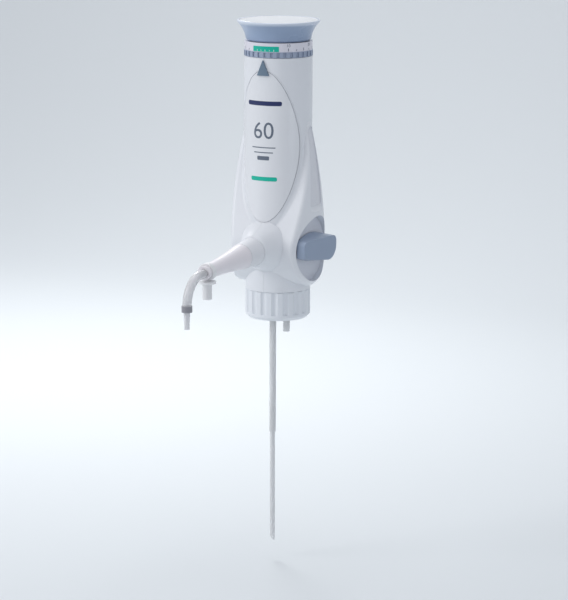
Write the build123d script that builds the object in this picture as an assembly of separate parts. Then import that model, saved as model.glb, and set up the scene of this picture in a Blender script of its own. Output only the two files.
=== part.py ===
from build123d import *
import math
import os

os.makedirs("parts", exist_ok=True)

# Bottle-top dispenser. The origin is on the bottle's axis, at the plane where its mouth seats.
# +Z points up through the knob, -Y is the front with the spout, +X is the side with the valve lever.

# Running and assembly clearances
FIT = 0.05
SLIP = 0.1
SEAT_GAP = 0.3
# How far a cutting shape runs past the face that it cuts
PAST = 1.0

# Bottle thread and collar
THREAD_R = 22.7
THREAD_LENGTH = 20.0
COLLAR_R = 26.5
COLLAR_BOTTOM = -21.5
COLLAR_TOP = 2.0
COLLAR_BAND = 4.6
COLLAR_CHAMFER = 2.6
COLLAR_FLUTES = 18
FLUTE_R = 3.4
FLUTE_DEPTH = 1.3
COLLAR_EDGE = 0.6
THREAD_RELIEF = 0.6
FLANGE_PLAY = 0.2
LIP_THICKNESS = 1.8
LIP_PLAY = 0.5

# Housing column
COLUMN_R = 27.5
COLUMN_WALL = 2.5
BASE_R = 26.5
BASE_BOTTOM = COLLAR_TOP + SEAT_GAP
BASE_TOP = 22.0
BASE_WALL = 2.4
SEAM_GAP = 0.1

# Side wings: a bell-shaped face about an axis set back from the column, cut to a teardrop outline
WING_AXIS = 12.0
LOBE_Z = 37.0
LOBE_R = 30.8
WING_TIP_Z = 140.0
WING_TIP_R = 5.0
WING_WALL = 2.4
RIDGE_FILLET = 3.4
FLANK_WAIST = (14.0, 91.0)
FLANK_LEAN_LOW = 19.0
FLANK_LEAN_HIGH = 7.0
BLEND_LOW = 56.0
BLEND_HIGH = 119.0
BLEND_LOW_R = 13.0
BLEND_HIGH_R = 1.6
BLEND_SECTIONS = 6
BLEND_ROOT = 3.0
BLEND_SINK = 0.12
BELL_TOP = (27.3, 150.0)
BELL_SHOULDER = (28.6, 138.0)
BELL_NECK = (31.2, 120.0)
BELL_WAIST = (34.2, 91.0)
BELL_HIP = (36.3, 60.0)
BELL_WIDEST = (37.2, 40.0)
BELL_LOW = (36.2, 22.0)
BELL_CHIN = (33.6, 11.0)
BELL_FOOT = (25.5, 4.6)

# Inset strips on the wings
STRIP_BOTTOM = 72.0
STRIP_TOP = 136.0
STRIP_HALF_LOW = 10.8
STRIP_HALF_HIGH = 4.4
STRIP_CORNER = 3.0
STRIP_DEPTH = 1.2
STRIP_THICKNESS = 2.2
STRIP_BACKING = 1.6
STRIP_MARGIN = 1.5
SCOOP_R = 6.0
SCOOP_SINK = 1.7

# Round recess in each lobe and the disc at its bottom
RECESS_R = 26.8
RECESS_FLOOR = 28.5
COVER_THICKNESS = 1.6
CUP_WALL = 2.2

# Label plate on the column's front
LABEL_HALF_HEIGHT = 61.0
LABEL_HALF_WIDTH = 24.7
LABEL_UNDER_POINTER = 3.8
LABEL_THICKNESS = 1.0
LABEL_PROUD = 0.3
LABEL_GROOVE = 0.35

# Volume pointer above the label plate
POINTER_DROP = 1.5
POINTER_HEIGHT = 12.3
POINTER_WIDTH = 10.4
POINTER_PROUD = 1.5
POINTER_SUNK = 1.6

# Volume setting ring and scale band
RING_HEIGHT = 4.7
RING_R = 27.7
RING_GROOVES = 32
RING_GROOVE_PHASE = 2.9
RING_GROOVE_DEPTH = 0.8
RING_GROOVE_WIDTH = 2.3
RING_GROOVE_MARGIN = 0.5
BAND_HEIGHT = 7.0
BAND_R = 27.4
BAND_WALL = 3.0
CAM_WALL = 1.6
CAM_LENGTH = 24.3
CAM_GAP = 7.0
CAM_RISE = 14.0

# Knob
KNOB_HEIGHT = 16.1
KNOB_RIM_R = 33.5
KNOB_BASE_R = 26.4
KNOB_FLARE_R = 28.7
KNOB_FLARE_HEIGHT = 8.6
KNOB_FOOT = 1.2
KNOB_LIP = 1.7
KNOB_EDGE = 0.4
KNOB_SHOULDER = 4.6
KNOB_SKIRT = 7.0
KNOB_SKIRT_WALL = 3.2
KNOB_WALL = 2.4
KNOB_GAP = 0.4
DISC_THICKNESS = 1.5
DISC_DISH = 0.7
DISC_RIM = 1.5
DISC_EDGE = 0.8
HUB_R = 12.6
SCREW_R = 2.0
SCREW_HEAD_R = 3.6
SCREW_HEAD = 1.8
SCREW_LENGTH = 14.0
SCREW_TIP_GAP = 1.0
SCREW_FIT = 0.02
ROD_TOP_GAP = 1.2
ROD_PLUG_FIT = 0.5

# Cylinder, piston and rod
STROKE = 90.0
BORE_R = 14.5
GLASS_WALL = 2.6
GLASS_SPARE = 7.5
GLASS_SOCKET = 4.0
GASKET_THICKNESS = 1.0
BLOCK_TOP = 52.0
PISTON_LENGTH = 13.0
PISTON_START = 1.5
PISTON_CHAMFER = 0.8
ROD_SOCKET = 6.0
GASKET_WIDTH = 4.1
ROD_R = 10.0
ROD_WALL = 2.5
HEAD_HEIGHT = 9.0
HEAD_SKIRT = 8.0
HEAD_FLANGE = 1.0
HEAD_FLANGE_DROP = 3.0
HEAD_WALL = 2.4
WIPER_START = 3.0
SEAL_WIDTH = 2.4
SEAL_DEPTH = 1.2
SEAL_INSET = 2.2

# Valve block
FLANGE_R = 21.7
FLANGE_TOP = 2.4
BOTTLE_SEAL = 0.6
BOTTLE_SEAL_INNER = 15.5
BLOCK_NECK_R = 18.0
BLOCK_R = 21.0
BLOCK_HEAD_R = 19.6
BLOCK_HEAD_HEIGHT = 10.0
BLOCK_SLOPE = 2.0
SHOULDER_Z = 9.0
SEAL_OVERHANG = 0.5
CHANNEL_R = 2.0
RIB_HEIGHT = 2.4
RIB_LOW = 14.0
RIB_HIGH = 25.0
ARM_R = 8.0
ARM_START = -10.0
ARM_END = -36.0
SPOUT_Z = 39.5
SPOUT_TILT = 2.2

# Valve lever and its spindle
SPINDLE_Z = LOBE_Z
SPINDLE_R = 7.0
SPINDLE_START = 2.0
ORING_SECTION = 1.4
ORING_GROOVE = 1.6
ORING_NEAR = 1.6
ORING_FAR = 14.0
ORING_SQUEEZE = 0.01
SPINDLE_END_GAP = 0.4
SPINDLE_PORT_Z = SPINDLE_Z - 1.0
SPINDLE_PORT_Y = -5.0
BUSH_R = 9.6
BUSH_START = 17.0
LEVER_INNER = 29.3
LEVER_FRONT_OUTER = 36.0
LEVER_BACK_OUTER = 42.4
LEVER_FRONT = -25.0
LEVER_BACK = 21.6
LEVER_TOP = 45.6
LEVER_CROWN = 49.8
LEVER_FRONT_BOTTOM = 32.2
LEVER_BACK_BOTTOM = 24.6
LEVER_HUB_R = 9.0
LEVER_LOW_ROUND = 11.0
LEVER_TOP_ROUND = 4.6
LEVER_SAG = 1.9
LEVER_FRONT_SAG = 0.3

# Intake side
INTAKE_X = -4.4
INTAKE_TUBE_R = 2.75
INTAKE_TUBE_WALL = 0.6
INTAKE_TUBE_END = -120.0
LOWER_TUBE_WALL = 0.6
LOWER_TUBE_TOP = -100.0
LOWER_TUBE_END = -213.0
LOWER_TUBE_SLANT = 45.0
SOCKET_DEPTH = 7.0
SOCKET_HEX_R = 6.4
TUBE_SEAT_Z = 1.5
RETURN_X = 8.0
RETURN_TUBE_END = -34.0
BALL_R = 2.4
BALL_LIFT = 1.2
CAGE_R = 4.4
INTAKE_SEAT_TOP = 6.0
SEAT_HEIGHT = 4.0
SEAT_HOLE_R = 1.5
SEAT_SINK = 0.7
BALL_FIT = 0.03
SEAT_FIT = 0.02

# Discharge valve in the arm
DISCHARGE_Y = -23.5
DISCHARGE_SEAT_BOTTOM = 32.0
CHAMBER_R = 3.6
CHAMBER_TOP = 44.5
PLUG_HEIGHT = 3.4
PLUG_HEAD_R = 3.8
PLUG_HEAD = 1.4
TURRET_R = 5.4
TURRET_FLOOR = 3.5
DRILL_DROP = 0.5

# Spout
BOSS_FOOT_R = 20.8
BOSS_FOOT_Y = -26.5
BOSS_MIDDLE_R = 15.0
BOSS_MIDDLE_Y = -39.5
BOSS_END_R = 12.7
BOSS_END_Y = -47.4
BOSS_ROUND = 1.8
SOCKET_R = 11.3
SOCKET_END_R = 10.4
SOCKET_END_Y = -67.3
SLEEVE_START_R = 10.2
SLEEVE_END_R = 5.7
SLEEVE_END_Y = -130.6
SLEEVE_FLARE = 1.7
SLEEVE_STEPS = 4
TUBE_R = 3.6
TUBE_WALL = 1.1
TUBE_START_Y = -34.0
BEND_R = 21.5
NOZZLE_Y = -158.3
TUBE_LOW_Z = 12.0
TIP_RING_R = 4.2
TIP_RING_BOTTOM = 10.6
TIP_RING_TOP = 15.4
NOZZLE_TOP_Z = 14.0
NOZZLE_COLLAR = 0.6
NOZZLE_TOP_R = 2.65
NOZZLE_END_R = 2.05
NOZZLE_WALL = 0.7
NOZZLE_LAND = 3.0
NOZZLE_END_Z = -3.0

# Parked closing cap and its holder
CAP_Y = -124.6
HOLDER_WIDTH = 5.0
HOLDER_WALL = 1.2
PEG_R = 1.9
PEG_LENGTH = 9.0
CAP_R = 3.7
CAP_BOTTOM = 14.4
CAP_FLANGE_R = 6.9
CAP_FLANGE = 1.8
CAP_FLOOR = 2.0
CAP_ROUND = 0.6
PEG_ROOT = 0.4

# Heights and radii that follow from the sizes above
CAVITY_R = COLUMN_R - COLUMN_WALL
HEAD_R = BORE_R + GLASS_WALL + HEAD_WALL
LEVER_CROWN_RISE = LEVER_CROWN - LEVER_TOP
CYLINDER_FLOOR = BLOCK_TOP - GLASS_SOCKET - GASKET_THICKNESS
GLASS_BOTTOM = CYLINDER_FLOOR + GASKET_THICKNESS
GLASS_LENGTH = STROKE + PISTON_LENGTH + PISTON_START + GLASS_SPARE
GLASS_TOP = GLASS_BOTTOM + GLASS_LENGTH
CAM_BOTTOM = GLASS_TOP + HEAD_FLANGE + CAM_GAP
RING_BOTTOM = CAM_BOTTOM + CAM_LENGTH
RING_TOP = RING_BOTTOM + RING_HEIGHT
COLUMN_TOP = RING_BOTTOM - SEAT_GAP
POINTER_APEX = COLUMN_TOP - POINTER_DROP
POINTER_BASE = POINTER_APEX - POINTER_HEIGHT
LABEL_Z = POINTER_BASE + LABEL_UNDER_POINTER - LABEL_HALF_HEIGHT
KNOB_BOTTOM = RING_TOP + BAND_HEIGHT + KNOB_GAP
KNOB_TOP = KNOB_BOTTOM + KNOB_HEIGHT
DISC_BOTTOM = KNOB_TOP - DISC_THICKNESS - SLIP
PISTON_BOTTOM = GLASS_BOTTOM + PISTON_START
PISTON_TOP = PISTON_BOTTOM + PISTON_LENGTH
ROD_TOP = DISC_BOTTOM - KNOB_WALL - ROD_TOP_GAP
PLUG_TOP = CHAMBER_TOP + PLUG_HEIGHT
CUP_R = RECESS_R + CUP_WALL
CUP_FLOOR = RECESS_FLOOR - COVER_THICKNESS - CUP_WALL
POCKET_FLOOR = STRIP_DEPTH + STRIP_THICKNESS
# Reach of the cutting shapes, well past the widest piece
REACH = 2 * LOBE_R


def write(shape, name):
    export_step(shape, f"parts/{name}.step")


def disc(r, z0, z1, x=0.0, y=0.0):
    return Pos(x, y, (z0 + z1) / 2) * Cylinder(r, z1 - z0)


def tube(r_out, r_in, z0, z1, x=0.0, y=0.0):
    return disc(r_out, z0, z1, x, y) - disc(r_in, z0 - PAST, z1 + PAST, x, y)


def rod_x(r, x0, x1, y=0.0, z=0.0):
    return Pos((x0 + x1) / 2, y, z) * Rot(0, 90, 0) * Cylinder(r, x1 - x0)


def rod_y(r, y0, y1, x=0.0, z=0.0):
    return Pos(x, (y0 + y1) / 2, z) * Rot(90, 0, 0) * Cylinder(r, y1 - y0)


def drill(start, end, r):
    path = Vector(*end) - Vector(*start)
    plane = Plane(origin=start, z_dir=path.normalized())
    return extrude(plane * Circle(r), amount=path.length)


def turned(points):
    # Revolves a closed outline of (radius, height) pairs about Z
    outline = Polyline([(r, 0, z) for r, z in points], close=True)
    return revolve(make_face(outline), Axis.Z, 360)


def tilted(shape):
    # Swings a shape drawn along Y down about the arm's end, onto the spout's sloping axis
    return Pos(0, ARM_END, SPOUT_Z) * Rot(SPOUT_TILT, 0, 0) * Pos(0, -ARM_END, -SPOUT_Z) * shape


def spout_height(y):
    return SPOUT_Z + (y - ARM_END) * math.tan(math.radians(SPOUT_TILT))


def spout_turned(edges):
    # Revolves a closed outline, drawn above the spout's axis, about that axis
    return tilted(revolve(make_face(edges), Axis((0, 0, SPOUT_Z), (0, 1, 0)), 360))


def spout_point(r, y):
    return (0, y, SPOUT_Z + r)


# Thread collar

def thread_collar():
    lip_top = FLANGE_TOP + SLIP + LIP_THICKNESS
    lip_r = BASE_R - BASE_WALL - LIP_PLAY
    body = turned([
        (0, COLLAR_BOTTOM),
        (COLLAR_R - COLLAR_CHAMFER, COLLAR_BOTTOM),
        (COLLAR_R, COLLAR_BOTTOM + COLLAR_CHAMFER),
        (COLLAR_R, COLLAR_TOP - COLLAR_EDGE),
        (COLLAR_R - COLLAR_EDGE, COLLAR_TOP),
        (lip_r, COLLAR_TOP),
        (lip_r, lip_top),
        (0, lip_top),
    ])
    body -= disc(THREAD_R, -THREAD_LENGTH - PAST, 0)
    body -= disc(THREAD_R + THREAD_RELIEF, COLLAR_BOTTOM - PAST, -THREAD_LENGTH)
    body -= disc(FLANGE_R + FLANGE_PLAY, -FIT, FLANGE_TOP + SLIP)
    body -= disc(BLOCK_NECK_R + LIP_PLAY, 0, lip_top + PAST)
    cutter = disc(FLUTE_R, COLLAR_BOTTOM + COLLAR_BAND, COLLAR_TOP + PAST, COLLAR_R + FLUTE_R - FLUTE_DEPTH)
    for i in range(COLLAR_FLUTES):
        body -= Rot(0, 0, (i + 0.5) * 360 / COLLAR_FLUTES) * cutter
    return body


# Housing shape

def bell(inset):
    points = (BELL_TOP, BELL_SHOULDER, BELL_NECK, BELL_WAIST, BELL_HIP, BELL_WIDEST, BELL_LOW, BELL_CHIN)
    face_line = [Vector(x - inset, 0, z) for x, z in points]
    foot = Vector(BELL_FOOT[0] - inset, 0, BELL_FOOT[1] + inset)
    curve = Spline(face_line + [foot], tangents=[(0.03, 0, -1), (-1, 0, -0.15)])
    top_back = Vector(-WING_AXIS, 0, BELL_TOP[1])
    foot_back = Vector(-WING_AXIS, 0, foot.Z)
    rest = Polyline(curve @ 1, foot_back, top_back, curve @ 0)
    return revolve(make_face([curve] + rest.edges()), Axis((-WING_AXIS, 0, 0), (0, 0, 1)), 360)


def flank(inset, side):
    # The hollow edge of the wing's outline, from the lobe's circle up to the small round tip
    lobe_r = LOBE_R - inset
    tip_r = WING_TIP_R - inset / 2
    tip_z = WING_TIP_Z - WING_TIP_R - inset
    low = math.radians(FLANK_LEAN_LOW)
    high = math.radians(FLANK_LEAN_HIGH)
    start = (0, side * lobe_r * math.cos(low), LOBE_Z + lobe_r * math.sin(low))
    waist = (0, side * (FLANK_WAIST[0] - inset), FLANK_WAIST[1])
    end = (0, side * tip_r * math.cos(high), tip_z + tip_r * math.sin(high))
    leaving = (0, -side * math.sin(low), math.cos(low))
    arriving = (0, -side * math.sin(high), math.cos(high))
    return Spline([start, waist, end], tangents=[leaving, arriving])


def teardrop(inset):
    # Outline in the YZ plane: a round lobe below, hollow flanks and a small round tip
    back = flank(inset, 1)
    front = flank(inset, -1)
    lobe = ThreePointArc(front @ 0, (0, 0, LOBE_Z - LOBE_R + inset), back @ 0)
    tip_top = WING_TIP_Z - 1.5 * inset
    cap = ThreePointArc(back @ 1, (0, 0, tip_top), front @ 1)
    return make_face([lobe, back, cap, front])


def wing(inset):
    return bell(inset) & extrude(teardrop(inset), amount=REACH, dir=(1, 0, 0))


def flank_width(height):
    # Half the wing's width at a height, found by halving the flank's length again and again
    curve = flank(0, 1)
    low = 0.0
    high = 1.0
    for _ in range(24):
        middle = (low + high) / 2
        if (curve @ middle).Z < height:
            low = middle
        else:
            high = middle
    return (curve @ low).Y


def blend_section(share):
    # Plan section of the fillet in the corner between the column and the wing's flank
    z = BLEND_LOW + (BLEND_HIGH - BLEND_LOW) * share
    r = BLEND_LOW_R + (BLEND_HIGH_R - BLEND_LOW_R) * share
    half = flank_width(z) - BLEND_SINK
    column = COLUMN_R - BLEND_SINK
    centre = Vector(math.sqrt((column + r) ** 2 - (half + r) ** 2), -(half + r), z)
    on_column = Vector(centre.X * column / (column + r), centre.Y * column / (column + r), z)
    on_flank = Vector(centre.X, -half, z)
    inward = ((on_column - centre) + (on_flank - centre)).normalized()
    corner = math.sqrt(column ** 2 - half ** 2)
    arc = ThreePointArc(on_column, centre + inward * r, on_flank)
    root = Polyline(on_flank, Vector(corner, BLEND_ROOT - half, z), on_column)
    return make_face([arc] + root.edges())


def blend():
    # The fillet swells downwards, where the wing widens into the lobe
    return loft([blend_section(i / (BLEND_SECTIONS - 1)) for i in range(BLEND_SECTIONS)])


def strip_shape(clearance):
    low = STRIP_HALF_LOW + clearance
    high = STRIP_HALF_HIGH + clearance
    bottom = STRIP_BOTTOM - clearance
    top = STRIP_TOP + clearance
    cap = ThreePointArc((0, high, top - high), (0, 0, top), (0, -high, top - high))
    base = Polyline((0, -high, top - high), (0, -low, bottom), (0, low, bottom), (0, high, top - high))
    solid = extrude(make_face([cap] + base.edges()), amount=REACH, dir=(1, 0, 0))
    corners = solid.edges().filter_by(Axis.X).group_by(Axis.Z)[0]
    return fillet(corners, STRIP_CORNER)


def scoop():
    # A hollow across the wing at the strip's lower edge
    climb = (STRIP_BOTTOM - BELL_HIP[1]) / (BELL_WAIST[1] - BELL_HIP[1])
    face_x = BELL_HIP[0] + (BELL_WAIST[0] - BELL_HIP[0]) * climb
    half = STRIP_HALF_LOW - SLIP
    return rod_y(SCOOP_R, -half, half, face_x + SCOOP_R - SCOOP_SINK, STRIP_BOTTOM)


def boss():
    # A trumpet on the spout's axis that flares into the column's front and has a rounded end
    foot = spout_point(BOSS_FOOT_R, BOSS_FOOT_Y)
    end = spout_point(BOSS_END_R, BOSS_END_Y)
    flare = ThreePointArc(foot, spout_point(BOSS_MIDDLE_R, BOSS_MIDDLE_Y), end)
    rest = Polyline(end, spout_point(0, BOSS_END_Y), spout_point(0, 0), spout_point(BOSS_FOOT_R, 0), foot)
    trumpet = spout_turned([flare] + rest.edges())
    return fillet(trumpet.edges().sort_by(Axis.Y)[0], BOSS_ROUND)


def label_outline(clearance):
    ellipse = Ellipse(LABEL_HALF_WIDTH + clearance, LABEL_HALF_HEIGHT + clearance)
    plane = Plane(origin=(0, 0, LABEL_Z), x_dir=(1, 0, 0), z_dir=(0, -1, 0))
    return extrude(plane * ellipse, amount=REACH)


def pointer_outline(clearance):
    half = POINTER_WIDTH / 2 + clearance
    base = POINTER_BASE - clearance
    points = [(-half, base), (half, base), (0, POINTER_APEX + clearance)]
    outline = Polyline([(x, 0, z) for x, z in points], close=True)
    return extrude(make_face(outline), amount=REACH, dir=(0, -1, 0))


def housing_outside():
    right = wing(0)
    ridge = [e for e in right.edges() if e.center().X > CAVITY_R - PAST]
    right = fillet(ridge, RIDGE_FILLET)
    corner = blend()
    body = disc(COLUMN_R, BASE_TOP, COLUMN_TOP) + disc(BASE_R, BASE_BOTTOM, BASE_TOP + PAST)
    body += right
    body += mirror(right, Plane.YZ)
    body += boss()
    for piece in (corner, mirror(corner, Plane.XZ)):
        body += piece
        body += mirror(piece, Plane.YZ)
    return body


def housing_inside():
    cavity = disc(CAVITY_R, BASE_TOP, COLUMN_TOP + PAST)
    cavity += disc(BASE_R - BASE_WALL, BASE_BOTTOM - PAST, BASE_TOP + PAST)
    pocket_wall = strip_shape(STRIP_MARGIN) & (bell(-PAST) - bell(POCKET_FLOOR + STRIP_BACKING))
    inner_right = wing(WING_WALL) - rod_x(CUP_R, CUP_FLOOR, REACH, 0, LOBE_Z) - pocket_wall
    cavity += inner_right
    cavity += mirror(inner_right, Plane.YZ)
    for z in (RIB_LOW, RIB_HIGH):
        cavity -= tube(COLUMN_R, BLOCK_R + FIT, z, z + RIB_HEIGHT)
    arm_way = tilted(rod_y(ARM_R + SLIP, BOSS_END_Y - PAST, ARM_START, 0, SPOUT_Z))
    turret_floor = DISCHARGE_SEAT_BOTTOM - TURRET_FLOOR - SEAT_GAP
    turret_way = disc(TURRET_R + SEAT_GAP, turret_floor, PLUG_TOP + PLUG_HEAD + PAST, 0, DISCHARGE_Y)
    return cavity + arm_way + turret_way


def housing():
    body = housing_outside() - housing_inside()
    recess = rod_x(RECESS_R, RECESS_FLOOR - COVER_THICKNESS, REACH, 0, LOBE_Z)
    pocket = strip_shape(SLIP) & (bell(-PAST) - bell(POCKET_FLOOR))
    for hollow in (recess, pocket, scoop()):
        body -= hollow
        body -= mirror(hollow, Plane.YZ)
    body -= rod_x(BUSH_R + 2 * SLIP, SPINDLE_START, REACH, 0, SPINDLE_Z)
    plate_space = label_outline(LABEL_GROOVE) - disc(COLUMN_R + LABEL_PROUD - LABEL_THICKNESS, 0, COLUMN_TOP)
    body -= plate_space & disc(COLUMN_R + PAST, 0, COLUMN_TOP)
    body -= pointer_outline(SLIP) - disc(COLUMN_R - POINTER_SUNK, 0, COLUMN_TOP)
    near = SEAM_GAP / 2
    half_space = Pos((REACH + near) / 2, 0, COLUMN_TOP / 2) * Box(REACH - near, 2 * REACH, COLUMN_TOP + REACH)
    return body & half_space, body & mirror(half_space, Plane.YZ)


def side_strip():
    return strip_shape(0) & (bell(STRIP_DEPTH) - bell(POCKET_FLOOR)) - scoop()


def recess_cover():
    return rod_x(RECESS_R - SLIP, RECESS_FLOOR - COVER_THICKNESS, RECESS_FLOOR, 0, LOBE_Z)


def valve_cover():
    return recess_cover() - rod_x(BUSH_R + SLIP, 0, REACH, 0, SPINDLE_Z)


def label_plate():
    front = COLUMN_R + LABEL_PROUD
    plate = tube(front, front - LABEL_THICKNESS, BASE_TOP, COLUMN_TOP) & label_outline(0)
    return plate - pointer_outline(SLIP)


def pointer():
    shell = tube(COLUMN_R + POINTER_PROUD, COLUMN_R - POINTER_SUNK + SLIP, POINTER_BASE - PAST, COLUMN_TOP)
    return pointer_outline(0) & shell


# Valve block and what sits in it

def valve_block():
    block = turned([
        (0, BOTTLE_SEAL),
        (FLANGE_R, BOTTLE_SEAL),
        (FLANGE_R, FLANGE_TOP),
        (BLOCK_NECK_R, FLANGE_TOP),
        (BLOCK_NECK_R, SHOULDER_Z),
        (BLOCK_R, SHOULDER_Z + BLOCK_SLOPE),
        (BLOCK_R, BLOCK_TOP - BLOCK_HEAD_HEIGHT - BLOCK_SLOPE),
        (BLOCK_HEAD_R, BLOCK_TOP - BLOCK_HEAD_HEIGHT),
        (BLOCK_HEAD_R, BLOCK_TOP),
        (0, BLOCK_TOP),
    ])
    block += tilted(rod_y(ARM_R, ARM_END, ARM_START, 0, SPOUT_Z))
    block += disc(TURRET_R, DISCHARGE_SEAT_BOTTOM - TURRET_FLOOR, PLUG_TOP, 0, DISCHARGE_Y)
    block -= disc(BORE_R + GLASS_WALL + SLIP, CYLINDER_FLOOR, BLOCK_TOP + PAST)
    block -= intake_bore() + return_bore() + spindle_bore() + discharge_bore()
    return block


def intake_bore():
    cage = disc(CAGE_R, -PAST, INTAKE_SEAT_TOP + 2 * BALL_R + BALL_LIFT + PAST, INTAKE_X, 0)
    return cage + disc(CHANNEL_R, 0, CYLINDER_FLOOR + PAST, INTAKE_X, 0)


def return_bore():
    socket = disc(INTAKE_TUBE_R + FIT, -PAST, INTAKE_SEAT_TOP, RETURN_X, 0)
    return socket + disc(CHANNEL_R, 0, CYLINDER_FLOOR + PAST, RETURN_X, 0)


def spindle_bore():
    bush_seat = rod_x(BUSH_R + FIT, BUSH_START, REACH, 0, SPINDLE_Z)
    return rod_x(SPINDLE_R + FIT, SPINDLE_START, REACH, 0, SPINDLE_Z) + bush_seat


def discharge_bore():
    start = (RETURN_X, SPINDLE_PORT_Y, SPINDLE_PORT_Z)
    bore = drill(start, (0, DISCHARGE_Y, DISCHARGE_SEAT_BOTTOM - DRILL_DROP), SEAT_HOLE_R)
    bore += disc(CHAMBER_R, DISCHARGE_SEAT_BOTTOM, PLUG_TOP + PAST, 0, DISCHARGE_Y)
    bore += tilted(rod_y(CHANNEL_R, ARM_END - PAST, DISCHARGE_Y, 0, SPOUT_Z))
    return bore + tilted(rod_y(TUBE_R + FIT, ARM_END - PAST, TUBE_START_Y, 0, SPOUT_Z))


def ball_height(seat_top):
    # Height of the ball's centre when it rests in the spherical socket at the seat's top
    return seat_top - SEAT_SINK + math.sqrt(BALL_R ** 2 - SEAT_HOLE_R ** 2)


def ball(x, y, seat_top):
    return Pos(x, y, ball_height(seat_top) + BALL_FIT) * Sphere(BALL_R)


def seat_socket(x, y, seat_top):
    return Pos(x, y, ball_height(seat_top)) * Sphere(BALL_R + SEAT_FIT)


def intake_valve():
    # A nipple with a hexagon, screwed into the block from below, that carries the tube and the ball seat
    hexagon = extrude(Pos(INTAKE_X, 0, -SOCKET_DEPTH) * RegularPolygon(SOCKET_HEX_R, 6), amount=SOCKET_DEPTH)
    nipple = hexagon + disc(CAGE_R - FIT, -PAST, INTAKE_SEAT_TOP, INTAKE_X, 0)
    nipple -= disc(INTAKE_TUBE_R + FIT, -SOCKET_DEPTH - PAST, TUBE_SEAT_Z, INTAKE_X, 0)
    nipple -= disc(SEAT_HOLE_R, 0, INTAKE_SEAT_TOP + PAST, INTAKE_X, 0)
    return nipple - seat_socket(INTAKE_X, 0, INTAKE_SEAT_TOP)


def discharge_seat():
    top = DISCHARGE_SEAT_BOTTOM + SEAT_HEIGHT
    seat = tube(CHAMBER_R - FIT, SEAT_HOLE_R, DISCHARGE_SEAT_BOTTOM, top, 0, DISCHARGE_Y)
    return seat - seat_socket(0, DISCHARGE_Y, top)


def discharge_plug():
    shank = disc(CHAMBER_R - FIT, CHAMBER_TOP, PLUG_TOP, 0, DISCHARGE_Y)
    return shank + disc(PLUG_HEAD_R, PLUG_TOP, PLUG_TOP + PLUG_HEAD, 0, DISCHARGE_Y)


def bottle_seal():
    return tube(FLANGE_R - SEAL_OVERHANG, BOTTLE_SEAL_INNER, 0, BOTTLE_SEAL)


def glass_cylinder():
    return tube(BORE_R + GLASS_WALL, BORE_R, GLASS_BOTTOM, GLASS_TOP)


def cylinder_gasket():
    outer = BORE_R + GLASS_WALL
    return tube(outer, outer - GASKET_WIDTH, CYLINDER_FLOOR, GLASS_BOTTOM)


def wiper_space(inner):
    bottom = GLASS_TOP + WIPER_START
    return tube(ROD_R + SLIP + SEAL_DEPTH, inner, bottom, bottom + SEAL_WIDTH)


def cylinder_head():
    head = disc(HEAD_R, GLASS_TOP - HEAD_SKIRT, GLASS_TOP + HEAD_HEIGHT)
    head += disc(CAVITY_R - SLIP, GLASS_TOP - HEAD_FLANGE_DROP, GLASS_TOP + HEAD_FLANGE)
    head -= disc(BORE_R + GLASS_WALL + SLIP, GLASS_TOP - HEAD_SKIRT - PAST, GLASS_TOP)
    head -= disc(ROD_R + SLIP, GLASS_TOP - PAST, GLASS_TOP + HEAD_HEIGHT + PAST)
    return head - wiper_space(ROD_R)


def rod_wiper():
    return wiper_space(ROD_R + FIT)


# Plunger

def seal_heights():
    return PISTON_BOTTOM + SEAL_INSET, PISTON_TOP - SEAL_INSET - SEAL_WIDTH


def piston():
    body = disc(BORE_R - SLIP, PISTON_BOTTOM, PISTON_TOP)
    body = chamfer(body.edges().group_by(Axis.Z)[0], PISTON_CHAMFER)
    for z in seal_heights():
        body -= tube(BORE_R, BORE_R - SLIP - SEAL_DEPTH, z, z + SEAL_WIDTH)
    return body - disc(ROD_R + FIT, PISTON_TOP - ROD_SOCKET, PISTON_TOP + PAST)


def piston_seals():
    rings = [tube(BORE_R - FIT, BORE_R - SLIP - SEAL_DEPTH, z, z + SEAL_WIDTH) for z in seal_heights()]
    return Compound(rings)


def piston_rod():
    rod = tube(ROD_R, ROD_R - ROD_WALL, PISTON_TOP - ROD_SOCKET, ROD_TOP)
    rod += disc(ROD_R - ROD_PLUG_FIT, ROD_TOP - SCREW_LENGTH, ROD_TOP)
    return rod - disc(SCREW_R, ROD_TOP - SCREW_LENGTH - PAST, ROD_TOP + PAST)


def knob_screw():
    head_top = DISC_BOTTOM - SLIP
    shank = disc(SCREW_R - SCREW_FIT, ROD_TOP - SCREW_LENGTH + SCREW_TIP_GAP, head_top - SCREW_HEAD)
    return shank + disc(SCREW_HEAD_R, head_top - SCREW_HEAD, head_top)


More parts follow.
